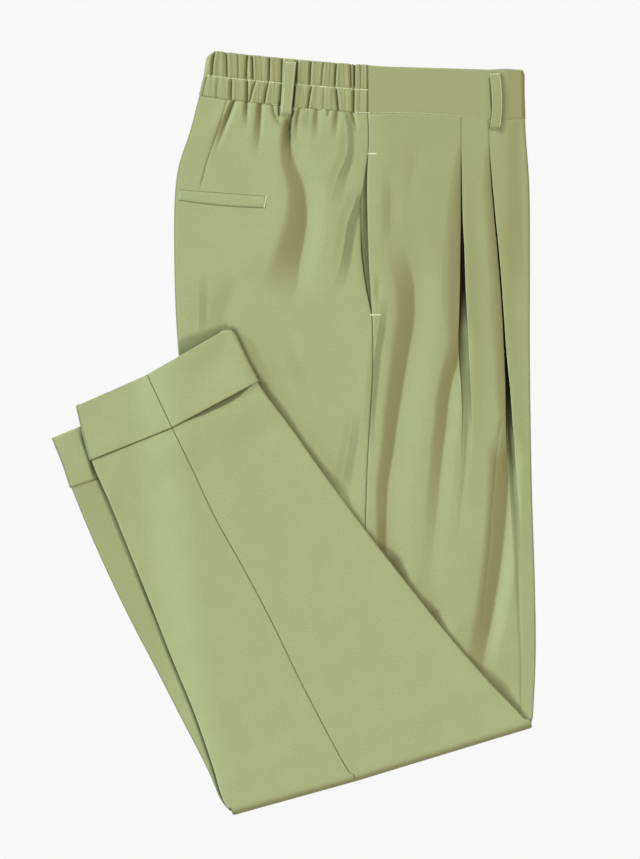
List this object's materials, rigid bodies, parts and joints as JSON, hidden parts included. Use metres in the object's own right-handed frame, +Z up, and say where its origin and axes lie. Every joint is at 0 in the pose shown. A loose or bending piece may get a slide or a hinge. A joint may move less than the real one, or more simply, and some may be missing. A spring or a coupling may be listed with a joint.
{
  "type": "folded pleated trousers",
  "caption": "Pleated trousers with turn-ups, a gathered elastic back waistband and belt loops, folded in half and up at the knee, lying flat.",
  "frame": {"origin": "centre of the outline's box on the surface that the folded trousers lie on", "axes": "+Y from the knee fold towards the waistband, +X towards the front edge, +Z up from the surface"},
  "size_m": [0.4365, 0.6864, 0.0213],
  "materials": {
    "crepe": "matt sage green crepe, fine weave, faint sheen",
    "crepe_band": "the same crepe, sewn double",
    "crepe_hidden": "the same crepe, in shade between the layers"
  },
  "bodies": {
    "root": {"right_front": "crepe", "right_back": "crepe", "right_back_lower": "crepe", "left_front": "crepe", "left_back": "crepe", "waistband_front": "crepe_band", "waistband_back": "crepe_band", "belt_loop_back": "crepe_band", "belt_loop_front": "crepe_band", "back_welt": "crepe", "side_pocket_facing": "crepe_hidden", "cuff_left_front": "crepe", "cuff_left_back": "crepe", "cuff_right": "crepe", "folded_layers": "crepe_hidden"}
  },
  "joints": []
}
